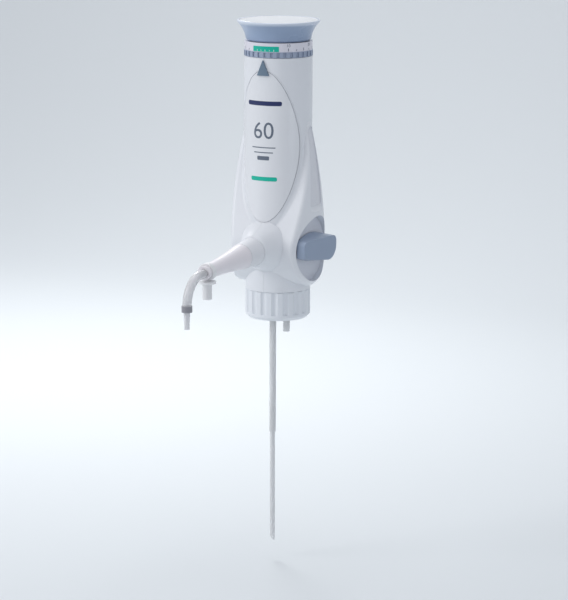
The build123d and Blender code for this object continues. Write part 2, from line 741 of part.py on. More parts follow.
def knob():
    side = ThreePointArc((KNOB_BASE_R, 0, KNOB_BOTTOM + KNOB_FOOT),
                         (KNOB_FLARE_R, 0, KNOB_BOTTOM + KNOB_FLARE_HEIGHT),
                         (KNOB_RIM_R - KNOB_EDGE, 0, KNOB_TOP - KNOB_LIP))
    rest = Polyline(side @ 1, (KNOB_RIM_R, 0, KNOB_TOP - 2 * KNOB_EDGE), (KNOB_RIM_R, 0, KNOB_TOP - KNOB_EDGE),
                    (KNOB_RIM_R - KNOB_EDGE, 0, KNOB_TOP), (0, 0, KNOB_TOP), (0, 0, KNOB_BOTTOM),
                    (KNOB_BASE_R - KNOB_FOOT, 0, KNOB_BOTTOM), side @ 0)
    body = revolve(make_face([side] + rest.edges()), Axis.Z, 360)
    roof = DISC_BOTTOM - KNOB_WALL
    skirt_r = KNOB_BASE_R - KNOB_SKIRT_WALL
    body -= turned([
        (HUB_R, KNOB_BOTTOM - PAST),
        (skirt_r, KNOB_BOTTOM - PAST),
        (skirt_r, KNOB_BOTTOM + KNOB_SKIRT),
        (KNOB_RIM_R - KNOB_WALL - KNOB_SHOULDER, roof),
        (HUB_R, roof),
    ])
    body -= disc(KNOB_RIM_R - DISC_RIM, DISC_BOTTOM, KNOB_TOP + PAST)
    body -= disc(ROD_R + FIT, KNOB_BOTTOM - PAST, ROD_TOP)
    body -= disc(SCREW_R + SLIP, ROD_TOP - PAST, KNOB_TOP)
    return body - disc(SCREW_HEAD_R + SLIP, DISC_BOTTOM - SLIP - SCREW_HEAD, KNOB_TOP)


def knob_disc():
    # A shallow dish pressed into the knob's top
    r = KNOB_RIM_R - DISC_RIM - SLIP
    top = KNOB_TOP - SLIP
    edge = r - DISC_EDGE
    whole = ThreePointArc((-edge, 0, top), (0, 0, top - DISC_DISH), (edge, 0, top))
    half = ThreePointArc((0, 0, top - DISC_DISH), whole @ 0.75, (edge, 0, top))
    rest = Polyline((edge, 0, top), (r, 0, top - DISC_EDGE / 2), (r, 0, DISC_BOTTOM), (0, 0, DISC_BOTTOM),
                    (0, 0, top - DISC_DISH))
    return revolve(make_face([half] + rest.edges()), Axis.Z, 360)


# Volume ring

def setting_ring():
    ring = tube(RING_R, CAVITY_R - SLIP - CAM_WALL, RING_BOTTOM, RING_TOP)
    notch = Box(2 * RING_GROOVE_DEPTH, RING_GROOVE_WIDTH, RING_HEIGHT - 2 * RING_GROOVE_MARGIN)
    groove = Pos(RING_R, 0, (RING_BOTTOM + RING_TOP) / 2) * notch
    for i in range(RING_GROOVES):
        ring -= Rot(0, 0, RING_GROOVE_PHASE + i * 360 / RING_GROOVES) * groove
    return ring


def scale_band():
    return tube(BAND_R, BAND_R - BAND_WALL, RING_TOP, RING_TOP + BAND_HEIGHT)


def cam_sleeve():
    # A tube whose lower edge climbs once round like a ramp
    outer = CAVITY_R - SLIP
    sleeve = tube(outer, outer - CAM_WALL, CAM_BOTTOM, RING_BOTTOM)
    far = outer + PAST
    low = CAM_BOTTOM - PAST
    ramp = Polyline((-far, 0, low), (far, 0, low), (far, 0, CAM_BOTTOM + CAM_RISE), close=True)
    return sleeve - extrude(make_face(ramp), amount=far, dir=(0, 1, 0), both=True)


# Valve lever

def oring_places():
    return SPINDLE_START + ORING_NEAR, SPINDLE_START + ORING_FAR


def oring(x):
    r = SPINDLE_R - ORING_SECTION / 2 + ORING_SQUEEZE
    return Pos(x, 0, SPINDLE_Z) * Rot(0, 90, 0) * Torus(r, ORING_SECTION / 2)


def valve_spindle():
    spindle = rod_x(SPINDLE_R, SPINDLE_START + SPINDLE_END_GAP, LEVER_INNER, 0, SPINDLE_Z)
    spindle -= rod_y(CHANNEL_R, -REACH, REACH, RETURN_X, SPINDLE_Z)
    spindle -= disc(CHANNEL_R, SPINDLE_Z, BLOCK_TOP, RETURN_X, 0)
    for x in oring_places():
        near = x - ORING_GROOVE / 2
        far = x + ORING_GROOVE / 2
        groove = rod_x(SPINDLE_R + PAST, near, far, 0, SPINDLE_Z)
        spindle -= groove - rod_x(SPINDLE_R - ORING_SECTION, near - PAST, far + PAST, 0, SPINDLE_Z)
    return spindle


def spindle_seals():
    return Compound([oring(x) for x in oring_places()])


def spindle_bush():
    bush = rod_x(BUSH_R, BUSH_START, RECESS_FLOOR, 0, SPINDLE_Z)
    return bush - rod_x(SPINDLE_R + FIT, 0, REACH, 0, SPINDLE_Z)


def lever_outline(front_x, back_x, crown):
    # Four-sided outline across the lever, standing on the line from its front edge to its back edge
    middle_x = (front_x + back_x) / 2
    middle_y = (LEVER_FRONT + LEVER_BACK) / 2
    sag = LEVER_SAG * (crown - LEVER_TOP) / LEVER_CROWN_RISE
    low_middle = (LEVER_FRONT_BOTTOM + LEVER_BACK_BOTTOM) / 2 - sag
    front_low = (front_x, LEVER_FRONT, LEVER_FRONT_BOTTOM)
    front_top = (front_x, LEVER_FRONT, LEVER_TOP)
    back_top = (back_x, LEVER_BACK, LEVER_TOP)
    back_low = (back_x, LEVER_BACK, LEVER_BACK_BOTTOM)
    top = ThreePointArc(front_top, (middle_x, middle_y, crown), back_top)
    base = ThreePointArc(back_low, (middle_x, middle_y, low_middle), front_low)
    return make_face([Line(front_low, front_top), top, Line(back_top, back_low), base])


def across_lever(bar):
    # The short edges that run from the lever's inner face to its outer face
    thin = LEVER_FRONT_OUTER - LEVER_INNER
    return [e for e in bar.edges() if abs((e @ 0).X - (e @ 1).X) > 0.6 * thin and e.length < 3 * thin]


def lever():
    inner = lever_outline(LEVER_INNER, LEVER_INNER, LEVER_CROWN)
    outer = lever_outline(LEVER_FRONT_OUTER, LEVER_BACK_OUTER, LEVER_TOP + LEVER_FRONT_SAG)
    bar = loft([inner, outer], ruled=True)
    low_back = [e for e in across_lever(bar) if e.center().Y > 0 and e.center().Z < SPINDLE_Z]
    bar = fillet(low_back, LEVER_LOW_ROUND)
    bar = fillet([e for e in across_lever(bar) if e.center().Z > LEVER_TOP - PAST], LEVER_TOP_ROUND)
    hub = rod_x(LEVER_HUB_R, RECESS_FLOOR + SEAT_GAP, LEVER_INNER + PAST, 0, SPINDLE_Z)
    return bar + hub - rod_x(SPINDLE_R, 0, LEVER_INNER, 0, SPINDLE_Z)


# Intake and return tubes

def intake_tube():
    return tube(INTAKE_TUBE_R, INTAKE_TUBE_R - INTAKE_TUBE_WALL, INTAKE_TUBE_END, TUBE_SEAT_Z, INTAKE_X, 0)


def intake_tube_lower():
    # Slides in the intake tube, and its foot is cut on a slant so that it can't seal on the bottle's floor
    outer = INTAKE_TUBE_R - INTAKE_TUBE_WALL - FIT
    lower = tube(outer, outer - LOWER_TUBE_WALL, LOWER_TUBE_END, LOWER_TUBE_TOP, INTAKE_X, 0)
    side = 6 * outer
    corner = Pos(INTAKE_X + outer, 0, LOWER_TUBE_END) * Rot(0, LOWER_TUBE_SLANT, 0)
    return lower - corner * Pos(0, 0, -side / 2) * Box(side, side, side)


def return_tube():
    return tube(INTAKE_TUBE_R, INTAKE_TUBE_R - INTAKE_TUBE_WALL, RETURN_TUBE_END, INTAKE_SEAT_TOP, RETURN_X, 0)


# Spout

def spout_socket():
    return spout_turned(Polyline([
        spout_point(SOCKET_R, BOSS_END_Y),
        spout_point(SOCKET_END_R, SOCKET_END_Y),
        spout_point(TUBE_R + FIT, SOCKET_END_Y),
        spout_point(TUBE_R + FIT, ARM_END),
        spout_point(ARM_R, ARM_END),
        spout_point(ARM_R, BOSS_END_Y),
    ], close=True).edges())


def sleeve_r(y):
    # The sleeve narrows fast at first and then less and less, like a trumpet
    share = (y - SOCKET_END_Y) / (SLEEVE_END_Y - SOCKET_END_Y)
    return SLEEVE_END_R + (SLEEVE_START_R - SLEEVE_END_R) * (1 - share) ** SLEEVE_FLARE


def spout_sleeve():
    length = SLEEVE_END_Y - SOCKET_END_Y
    places = [SOCKET_END_Y + length * i / SLEEVE_STEPS for i in range(SLEEVE_STEPS + 1)]
    flare = Spline([spout_point(sleeve_r(y), y) for y in places])
    bore_r = TUBE_R + FIT
    bore_end = spout_point(bore_r, SLEEVE_END_Y)
    rest = Polyline(flare @ 1, bore_end, spout_point(bore_r, SOCKET_END_Y), flare @ 0)
    return spout_turned([flare] + rest.edges())


def discharge_tube():
    start = (0, TUBE_START_Y, spout_height(TUBE_START_Y))
    corner = (0, NOZZLE_Y, spout_height(NOZZLE_Y))
    path = FilletPolyline(start, corner, (0, NOZZLE_Y, TUBE_LOW_Z), radius=BEND_R)
    plane = Plane(origin=path @ 0, z_dir=path % 0)
    return sweep(plane * (Circle(TUBE_R) - Circle(TUBE_R - TUBE_WALL)), path=path)


def tip_ring():
    ring = disc(TIP_RING_R, TIP_RING_BOTTOM, TIP_RING_TOP, 0, NOZZLE_Y)
    ring -= disc(TUBE_R + SLIP, TUBE_LOW_Z, TIP_RING_TOP + PAST, 0, NOZZLE_Y)
    return ring - disc(NOZZLE_TOP_R + SLIP, TIP_RING_BOTTOM - PAST, TIP_RING_TOP, 0, NOZZLE_Y)


def nozzle_tip():
    plug_r = TUBE_R - TUBE_WALL - FIT
    return Pos(0, NOZZLE_Y, 0) * turned([
        (plug_r, NOZZLE_TOP_Z),
        (plug_r, TUBE_LOW_Z),
        (NOZZLE_TOP_R, TUBE_LOW_Z),
        (NOZZLE_TOP_R, TUBE_LOW_Z - NOZZLE_COLLAR),
        (NOZZLE_END_R, NOZZLE_END_Z + NOZZLE_LAND),
        (NOZZLE_END_R, NOZZLE_END_Z),
        (NOZZLE_END_R - NOZZLE_WALL, NOZZLE_END_Z),
        (plug_r - NOZZLE_WALL, NOZZLE_TOP_Z),
    ])


def holder_bottom():
    return spout_height(CAP_Y) - sleeve_r(CAP_Y) - FIT - HOLDER_WALL


def cap_holder():
    near = CAP_Y + HOLDER_WIDTH / 2
    far = CAP_Y - HOLDER_WIDTH / 2
    ring = spout_turned(Polyline([
        spout_point(sleeve_r(near) + FIT, near),
        spout_point(sleeve_r(near) + HOLDER_WALL, near),
        spout_point(sleeve_r(far) + HOLDER_WALL, far),
        spout_point(sleeve_r(far) + FIT, far),
    ], close=True).edges())
    peg_top = spout_height(CAP_Y) - sleeve_r(CAP_Y) - PEG_ROOT
    return ring + disc(PEG_R, holder_bottom() - PEG_LENGTH, peg_top, 0, CAP_Y)


def closing_cap():
    top = holder_bottom() - SEAT_GAP
    cap = disc(CAP_FLANGE_R, top - CAP_FLANGE, top, 0, CAP_Y) + disc(CAP_R, CAP_BOTTOM, top, 0, CAP_Y)
    cap = fillet(cap.edges().group_by(Axis.Z)[0], CAP_ROUND)
    return cap - disc(PEG_R + FIT, holder_bottom() - PEG_LENGTH - CAP_FLOOR, top + PAST, 0, CAP_Y)


write(thread_collar(), "thread_collar")
right_half, left_half = housing()
write(right_half, "housing_right")
write(left_half, "housing_left")
write(label_plate(), "label_plate")
write(pointer(), "pointer")
strip = side_strip()
write(strip, "side_inlay_right")
write(mirror(strip, Plane.YZ), "side_inlay_left")
write(valve_cover(), "valve_cover")
write(mirror(recess_cover(), Plane.YZ), "left_cover")
write(valve_block(), "valve_block")
write(bottle_seal(), "bottle_seal")
write(glass_cylinder(), "glass_cylinder")
write(cylinder_gasket(), "cylinder_gasket")
write(cylinder_head(), "cylinder_head")
write(rod_wiper(), "rod_wiper")
write(intake_valve(), "intake_valve")
write(ball(INTAKE_X, 0, INTAKE_SEAT_TOP), "intake_ball")
write(discharge_seat(), "discharge_seat")
write(ball(0, DISCHARGE_Y, DISCHARGE_SEAT_BOTTOM + SEAT_HEIGHT), "discharge_ball")
write(discharge_plug(), "discharge_plug")
write(spindle_bush(), "spindle_bush")
write(valve_spindle(), "valve_spindle")
write(spindle_seals(), "spindle_seals")
write(lever(), "lever")
write(intake_tube(), "intake_tube")
write(intake_tube_lower(), "intake_tube_lower")
write(return_tube(), "return_tube")
write(spout_socket(), "spout_socket")
write(spout_sleeve(), "spout_sleeve")
write(discharge_tube(), "discharge_tube")
write(tip_ring(), "tip_ring")
write(nozzle_tip(), "nozzle_tip")
write(cap_holder(), "cap_holder")
write(closing_cap(), "closing_cap")
write(piston(), "piston")
write(piston_seals(), "piston_seals")
write(piston_rod(), "piston_rod")
write(knob(), "knob")
write(knob_disc(), "knob_disc")
write(knob_screw(), "knob_screw")
write(setting_ring(), "setting_ring")
write(scale_band(), "scale_band")
write(cam_sleeve(), "cam_sleeve")
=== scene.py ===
import math

import bmesh
import bpy
from mathutils import Matrix, Vector


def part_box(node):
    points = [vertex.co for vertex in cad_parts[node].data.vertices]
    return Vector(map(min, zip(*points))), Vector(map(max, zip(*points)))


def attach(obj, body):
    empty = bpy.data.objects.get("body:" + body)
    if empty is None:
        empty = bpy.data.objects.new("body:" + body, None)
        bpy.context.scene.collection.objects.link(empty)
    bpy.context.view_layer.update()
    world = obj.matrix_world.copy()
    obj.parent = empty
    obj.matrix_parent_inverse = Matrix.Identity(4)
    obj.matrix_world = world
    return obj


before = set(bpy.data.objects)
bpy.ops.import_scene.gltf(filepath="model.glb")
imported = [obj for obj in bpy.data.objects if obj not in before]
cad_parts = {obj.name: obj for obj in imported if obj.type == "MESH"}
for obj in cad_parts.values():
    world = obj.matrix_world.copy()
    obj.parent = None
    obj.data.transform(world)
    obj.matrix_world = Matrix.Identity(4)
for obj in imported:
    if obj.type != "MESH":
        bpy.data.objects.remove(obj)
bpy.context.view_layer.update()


# Studio
# A plain pale paper sweep: a level floor just under the intake tube's end that curves up into a wall far
# behind. Large soft boxes light it, the strongest from the left, and a small one brightens the floor.
FLOOR_Z = -0.228
SWEEP_BACK = 2.2
SWEEP_FRONT = 8.0
SWEEP_WIDTH = 14.0
SWEEP_RADIUS = 1.2
SWEEP_HEIGHT = 3.2
SWEEP_STEPS = 24
PAPER_COLOUR = (0.685, 0.72, 0.742)
PAPER_ROUGHNESS = 0.9
PAPER_MOTTLE = 0.985
PAPER_MOTTLE_SCALE = 1.4


def paper(name):
    """Matt paper with a faint soft mottling."""
    material = bpy.data.materials.new(name)
    material.use_nodes = True
    nodes, links = material.node_tree.nodes, material.node_tree.links
    shader = nodes["Principled BSDF"]
    shader.inputs["Roughness"].default_value = PAPER_ROUGHNESS
    place = nodes.new("ShaderNodeTexCoord")
    noise = nodes.new("ShaderNodeTexNoise")
    noise.inputs["Scale"].default_value = PAPER_MOTTLE_SCALE
    ramp = nodes.new("ShaderNodeValToRGB")
    ramp.color_ramp.elements[0].color = (*(c * PAPER_MOTTLE for c in PAPER_COLOUR), 1)
    ramp.color_ramp.elements[1].color = (*PAPER_COLOUR, 1)
    links.new(place.outputs["Object"], noise.inputs["Vector"])
    links.new(noise.outputs["Fac"], ramp.inputs["Fac"])
    links.new(ramp.outputs["Color"], shader.inputs["Base Color"])
    return material


def clear_selection():
    if bpy.context.object and bpy.context.object.mode != "OBJECT":
        bpy.ops.object.mode_set(mode="OBJECT")
    bpy.ops.object.select_all(action="DESELECT")


clear_selection()
bpy.ops.mesh.primitive_plane_add(size=1, location=(0, (SWEEP_BACK - SWEEP_FRONT) / 2, FLOOR_Z))
sweep = bpy.context.object
sweep.name = "sweep"
bpy.ops.transform.resize(value=(SWEEP_WIDTH, SWEEP_FRONT + SWEEP_BACK, 1))
bpy.ops.object.mode_set(mode="EDIT")
bpy.ops.mesh.select_all(action="DESELECT")
mesh = bmesh.from_edit_mesh(sweep.data)
for edge in mesh.edges:
    edge.select = all(v.co.y > 0 for v in edge.verts)
bmesh.update_edit_mesh(sweep.data)
bpy.ops.mesh.extrude_region_move(TRANSFORM_OT_translate={"value": (0, 0, SWEEP_HEIGHT)})
bpy.ops.object.mode_set(mode="OBJECT")
bpy.ops.object.transform_apply(location=True, rotation=True, scale=True)
curve_in = sweep.modifiers.new("curve_in", "BEVEL")
curve_in.width = SWEEP_RADIUS
curve_in.segments = SWEEP_STEPS
bpy.ops.object.modifier_apply(modifier="curve_in")
bpy.ops.object.shade_smooth()
sweep.data.materials.append(paper("sweep_paper"))

HOUSING_MIDDLE = (0, 0, 0.08)
WHITE_LIGHT = (1, 1, 1)
COOL_LIGHT = (0.86, 0.93, 1)
SKY_COLOUR = (0.87, 0.89, 0.955, 1)
SKY_STRENGTH = 0.55


def soft_box(name, place, aim, size, power, colour=WHITE_LIGHT):
    """A rectangular area light at a place, turned to face the aim."""
    light = bpy.data.lights.new(name, "AREA")
    light.shape = "RECTANGLE"
    light.size, light.size_y = size
    light.energy = power
    light.color = colour
    holder = bpy.data.objects.new(name, light)
    bpy.context.collection.objects.link(holder)
    holder.location = place
    holder.rotation_euler = (Vector(aim) - Vector(place)).to_track_quat("-Z", "Y").to_euler()


soft_box("key_left", (-1.5, -1.3, 1.1), HOUSING_MIDDLE, (0.9, 1.6), 20)
soft_box("fill_right", (1.7, -0.6, 0.6), HOUSING_MIDDLE, (0.7, 1.6), 2.8, COOL_LIGHT)
soft_box("top", (0, 0.1, 1.7), (0, 0, 0), (1.2, 1.2), 7)
soft_box("wall_wash", (-1.1, 1.2, 1.5), (-1.2, 2.2, 0.3), (1.6, 0.8), 4)
soft_box("floor_pool", (-0.5, 0.55, 0.6), (-0.5, 0.55, 0), (0.35, 0.35), 4.8)

world = bpy.data.worlds.new("studio_air")
bpy.context.scene.world = world
world.use_nodes = True
world.node_tree.nodes["Background"].inputs["Color"].default_value = SKY_COLOUR
world.node_tree.nodes["Background"].inputs["Strength"].default_value = SKY_STRENGTH

# Camera
# A long lens, to the right of the front and a little above, looking slightly down as in the photograph.
# The dispenser stands in the upper part of the picture, and its spout points to the lower left.
CAMERA_AZIMUTH = math.radians(26.0)
CAMERA_DISTANCE = 2.143
CAMERA_HEIGHT = 0.431
CAMERA_PITCH = math.radians(11.6)
CAMERA_YAW = math.radians(0.137)
CAMERA_ROLL = math.radians(0.2)
CAMERA_LENS = 160.44
SENSOR_HEIGHT = 36.0
FARTHEST = 20.0

camera_data = bpy.data.cameras.new("camera")
camera_data.sensor_fit = "VERTICAL"
camera_data.sensor_height = SENSOR_HEIGHT
camera_data.lens = CAMERA_LENS
camera_data.clip_end = FARTHEST
camera = bpy.data.objects.new("camera", camera_data)
bpy.context.collection.objects.link(camera)
camera_x = math.sin(CAMERA_AZIMUTH) * CAMERA_DISTANCE
camera_y = -math.cos(CAMERA_AZIMUTH) * CAMERA_DISTANCE
camera.location = (camera_x, camera_y, CAMERA_HEIGHT)
turn = Matrix.Rotation(CAMERA_AZIMUTH - CAMERA_YAW, 4, "Z")
tip = Matrix.Rotation(math.pi / 2 - CAMERA_PITCH, 4, "X")
roll = Matrix.Rotation(CAMERA_ROLL, 4, "Z")
camera.rotation_euler = (turn @ tip @ roll).to_euler()
bpy.context.scene.camera = camera
bpy.context.scene.view_settings.view_transform = "Standard"

# Thread collar
# The ring that screws onto a bottle's neck: moulded white plastic with broad grip flutes and a plain band
# below them. Its spark-eroded mould leaves a fine even grain, which every moulded piece here shares.
CLOUD_SCALE = 22
CLOUD_DETAIL = 3
CLOUD_EDGES = (0.3, 0.7)
GRAIN_SCALE = 2600
GRAIN_DETAIL = 2
GRAIN_HEIGHT = 0.0002
GLOSS_SPREAD = 0.05
SMOOTHEST = 0.02
PLASTIC_IOR = 1.49
SHEEN_ROUGHNESS = 0.12
SCATTER_DEPTH = 0.002


def moulded(name, colour, roughness, grain=0.03, mottle=0.02, sheen=0.0, depth=0.0):
    """Moulded plastic: faint colour variation, a fine grain and slightly uneven gloss."""
    material = bpy.data.materials.new(name)
    material.use_nodes = True
    nodes, links = material.node_tree.nodes, material.node_tree.links
    shader = nodes["Principled BSDF"]
    shader.inputs["IOR"].default_value = PLASTIC_IOR
    shader.inputs["Coat Weight"].default_value = sheen
    shader.inputs["Coat Roughness"].default_value = SHEEN_ROUGHNESS
    shader.inputs["Subsurface Weight"].default_value = depth
    shader.inputs["Subsurface Radius"].default_value = (1, 1, 1)
    shader.inputs["Subsurface Scale"].default_value = SCATTER_DEPTH
    place = nodes.new("ShaderNodeTexCoord")
    cloud = nodes.new("ShaderNodeTexNoise")
    cloud.inputs["Scale"].default_value = CLOUD_SCALE
    cloud.inputs["Detail"].default_value = CLOUD_DETAIL
    tint = nodes.new("ShaderNodeValToRGB")
    tint.color_ramp.elements[0].position, tint.color_ramp.elements[1].position = CLOUD_EDGES
    tint.color_ramp.elements[0].color = (*(c * (1 - mottle) for c in colour), 1)
    tint.color_ramp.elements[1].color = (*colour, 1)
    links.new(place.outputs["Object"], cloud.inputs["Vector"])
    links.new(cloud.outputs["Fac"], tint.inputs["Fac"])
    links.new(tint.outputs["Color"], shader.inputs["Base Color"])
    speck = nodes.new("ShaderNodeTexNoise")
    speck.inputs["Scale"].default_value = GRAIN_SCALE
    speck.inputs["Detail"].default_value = GRAIN_DETAIL
    links.new(place.outputs["Object"], speck.inputs["Vector"])
    gloss = nodes.new("ShaderNodeMapRange")
    gloss.inputs["To Min"].default_value = max(roughness - GLOSS_SPREAD, SMOOTHEST)
    gloss.inputs["To Max"].default_value = roughness + GLOSS_SPREAD
    links.new(cloud.outputs["Fac"], gloss.inputs["Value"])
    links.new(gloss.outputs["Result"], shader.inputs["Roughness"])
    bump = nodes.new("ShaderNodeBump")
    bump.inputs["Strength"].default_value = grain
    bump.inputs["Distance"].default_value = GRAIN_HEIGHT
    links.new(speck.outputs["Fac"], bump.inputs["Height"])
    links.new(bump.outputs["Normal"], shader.inputs["Normal"])
    return material


def dress(material, *names):
    """Gives CAD nodes their finish."""
    for name in names:
        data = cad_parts[name].data
        data.materials.clear()
        data.materials.append(material)


collar_plastic = moulded("collar_plastic", (0.8, 0.83, 0.87), 0.36, grain=0.05, depth=0.1)
dress(collar_plastic, "thread_collar")

# Collar thread
# The round-crested thread moulded inside the collar: two and a half turns at the standard 4 mm pitch of a
# 45 mm neck. It is one piece with the collar, and its ends run out into the wall.
THREAD_R = 0.0227
THREAD_PITCH = 0.004
THREAD_TURNS = 2.5
THREAD_START_Z = -0.0182
THREAD_CREST = 0.0009
THREAD_STEPS = 120
RUN_OUT_THICKNESS = 0.15
RUN_OUT_GROWTH = 12


def round_strand(name, radius, roundness, places):
    """A closed round strand through (x, y, z, share of the radius) places, as a smooth mesh."""
    line = bpy.data.curves.new(name, "CURVE")
    line.dimensions = "3D"
    line.bevel_depth = radius
    line.bevel_resolution = roundness
    line.use_fill_caps = True
    run = line.splines.new("POLY")
    run.points.add(len(places) - 1)
    for point, (x, y, z, share) in zip(run.points, places):
        point.co = (x, y, z, 1)
        point.radius = share
    strand = bpy.data.objects.new(name, line)
    bpy.context.collection.objects.link(strand)
    clear_selection()
    strand.select_set(True)
    bpy.context.view_layer.objects.active = strand
    bpy.ops.object.convert(target="MESH")
    bpy.ops.object.shade_smooth()
    return strand


def thread_place(done):
    """A place on the thread, where done is the share of its length from its lower end."""
    angle = 2 * math.pi * THREAD_TURNS * done
    height = THREAD_START_Z + THREAD_PITCH * THREAD_TURNS * done
    share = min(1, RUN_OUT_THICKNESS + RUN_OUT_GROWTH * min(done, 1 - done))
    return (THREAD_R * math.cos(angle), THREAD_R * math.sin(angle), height, share)


thread_places = [thread_place(i / THREAD_STEPS) for i in range(THREAD_STEPS + 1)]
thread = round_strand("collar_thread", THREAD_CREST, 2, thread_places)
thread.data.materials.append(collar_plastic)
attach(thread, "collar")

# Housing
# Two injection-moulded half shells that meet on the front and back centre lines. Cool white ABS with a
# satin face, the column and the two wings in one piece on each side.
housing_plastic = moulded("housing_plastic", (0.8, 0.82, 0.855), 0.34, grain=0.04, depth=0.08)
dress(housing_plastic, "housing_right", "housing_left")

# Label plate
# A thin glossy oval plate of white plastic, moulded by itself and seated in a pocket of both shells. A
# fine dark gap runs round it.
label_plastic = moulded("label_plastic", (0.82, 0.835, 0.865), 0.14, grain=0.01, sheen=0.4)
dress(label_plastic, "label_plate")

# Label bead
# A fine raised bead, moulded in one with the shells. It follows the plate's upper half just outside the
# gap, up to the pointer's foot.
BEAD_HALF_WIDTH = 0.0257
BEAD_HALF_HEIGHT = 0.0622
BEAD_THICKNESS = 0.0007
BEAD_START = math.radians(-38)
BEAD_END = math.radians(218)
BEAD_POINTS = 72
COLUMN_OVER_BAND = 0.0001
COLUMN_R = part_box("scale_band")[1][0] + COLUMN_OVER_BAND
LABEL_MIDDLE = (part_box("label_plate")[0][2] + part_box("label_plate")[1][2]) / 2


def bead_place(done):
    """A place on the bead, on the column's face."""
    angle = BEAD_START + (BEAD_END - BEAD_START) * done
    x = BEAD_HALF_WIDTH * math.cos(angle)
    return (x, -math.sqrt(COLUMN_R ** 2 - x ** 2), LABEL_MIDDLE + BEAD_HALF_HEIGHT * math.sin(angle), 1)


bead_places = [bead_place(i / (BEAD_POINTS - 1)) for i in range(BEAD_POINTS)]
bead = round_strand("label_bead", BEAD_THICKNESS / 2, 3, bead_places)
bead.data.materials.append(housing_plastic)
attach(bead, "housing")

# Label print
# Plain printing on the plate: a dark bar, the largest volume as a number, fine grey rows and a green bar.
# It is screen-printed ink, a few hundredths of a millimetre thick.
PLATE_OVER_COLUMN = 0.0003
LABEL_R = COLUMN_R + PLATE_OVER_COLUMN
INK_RISE = 0.00004
INK_THICKNESS = 0.00003
SLICE = 0.0012
SAME_POINT = 0.000002
CORNER_STEPS = 3
NUMBER_ROUNDNESS = 4


def finish_print(piece, name, ink, body, radius, angle, height):
    """Lays a flat drawing round the column at an angle and height, and fixes it to its body."""
    clear_selection()
    piece.select_set(True)
    bpy.context.view_layer.objects.active = piece
    piece.name = name
    bpy.ops.object.mode_set(mode="EDIT")
    reach = max(abs(v.co.x) for v in bmesh.from_edit_mesh(piece.data).verts)
    cuts = int(reach / SLICE)
    for i in range(-cuts, cuts + 1):
        bpy.ops.mesh.select_all(action="SELECT")
        bpy.ops.mesh.bisect(plane_co=(i * SLICE, 0, 0), plane_no=(1, 0, 0))
    bpy.ops.object.mode_set(mode="OBJECT")
    for vertex in piece.data.vertices:
        along, up, out = vertex.co
        turned_by = angle + along / radius
        from_axis = radius + INK_RISE + out
        vertex.co = (math.sin(turned_by) * from_axis, -math.cos(turned_by) * from_axis, height + up)
    piece.data.materials.clear()
    piece.data.materials.append(ink)
    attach(piece, body)


def print_on_plate(piece, name, ink, height):
    finish_print(piece, name, ink, "housing", LABEL_R, 0, height)


def printed_bar(width, height, corner):
    """A flat bar with rounded corners."""
    clear_selection()
    bpy.ops.mesh.primitive_plane_add(size=1)
    piece = bpy.context.object
    bpy.ops.transform.resize(value=(width, height, 1))
    bpy.ops.object.transform_apply(location=True, rotation=True, scale=True)
    bpy.ops.object.mode_set(mode="EDIT")
    bpy.ops.mesh.select_all(action="SELECT")
    bpy.ops.mesh.bevel(offset=corner, segments=CORNER_STEPS, affect="VERTICES")
    bpy.ops.mesh.select_all(action="SELECT")
    bpy.ops.mesh.extrude_region_move(TRANSFORM_OT_translate={"value": (0, 0, INK_THICKNESS)})
    bpy.ops.mesh.select_all(action="SELECT")
    bpy.ops.mesh.normals_make_consistent(inside=False)
    bpy.ops.object.mode_set(mode="OBJECT")
    return piece


def printed_number(text, size):
    """A plain number, as a thin closed mesh."""
    clear_selection()
    bpy.ops.object.text_add()
    piece = bpy.context.object
    piece.data.body = text
    piece.data.size = size
    piece.data.align_x = "CENTER"
    piece.data.align_y = "CENTER"
    piece.data.extrude = INK_THICKNESS / 2
    piece.data.resolution_u = NUMBER_ROUNDNESS
    bpy.ops.object.convert(target="MESH")
    bpy.ops.object.mode_set(mode="EDIT")
    bpy.ops.mesh.select_all(action="SELECT")
    bpy.ops.mesh.remove_doubles(threshold=SAME_POINT)
    bpy.ops.mesh.normals_make_consistent(inside=False)
    bpy.ops.object.mode_set(mode="OBJECT")
    return piece


ink_blue = moulded("ink_blue", (0.02, 0.032, 0.12), 0.3, grain=0.02)
ink_grey = moulded("ink_grey", (0.14, 0.17, 0.22), 0.3, grain=0.02)
ink_green = moulded("ink_green", (0.002, 0.5, 0.36), 0.3, grain=0.02)

# Each bar is its width, its height and the rounding of its corners
TOP_BAR = (0.031, 0.0036, 0.0012)
TOP_BAR_Z = 0.156
VOLUME_SIZE = 0.019
VOLUME_Z = 0.1335
ROWS = ((0.021, 0.1205), (0.017, 0.1165))
ROW_HEIGHT = 0.0008
ROW_CORNER = 0.0003
SMALL_BAR = (0.0105, 0.0032, 0.0006)
SMALL_BAR_Z = 0.112
GREEN_BAR = (0.0235, 0.0034, 0.0012)
GREEN_BAR_Z = 0.0952

print_on_plate(printed_bar(*TOP_BAR), "label_name_bar", ink_blue, TOP_BAR_Z)
print_on_plate(printed_number("60", VOLUME_SIZE), "label_volume", ink_grey, VOLUME_Z)
for i, (row_width, row_z) in enumerate(ROWS):
    row = printed_bar(row_width, ROW_HEIGHT, ROW_CORNER)
    print_on_plate(row, f"label_row_{i + 1}", ink_grey, row_z)
print_on_plate(printed_bar(*SMALL_BAR), "label_range_box", ink_grey, SMALL_BAR_Z)
print_on_plate(printed_bar(*GREEN_BAR), "label_green_bar", ink_green, GREEN_BAR_Z)

# Volume pointer
# A small wedge of blue-grey plastic above the plate, its tip just under the setting ring. It is moulded by
# itself and clipped into a pocket of the shells.
pointer_plastic = moulded("pointer_plastic", (0.15, 0.215, 0.29), 0.4)
dress(pointer_plastic, "pointer")

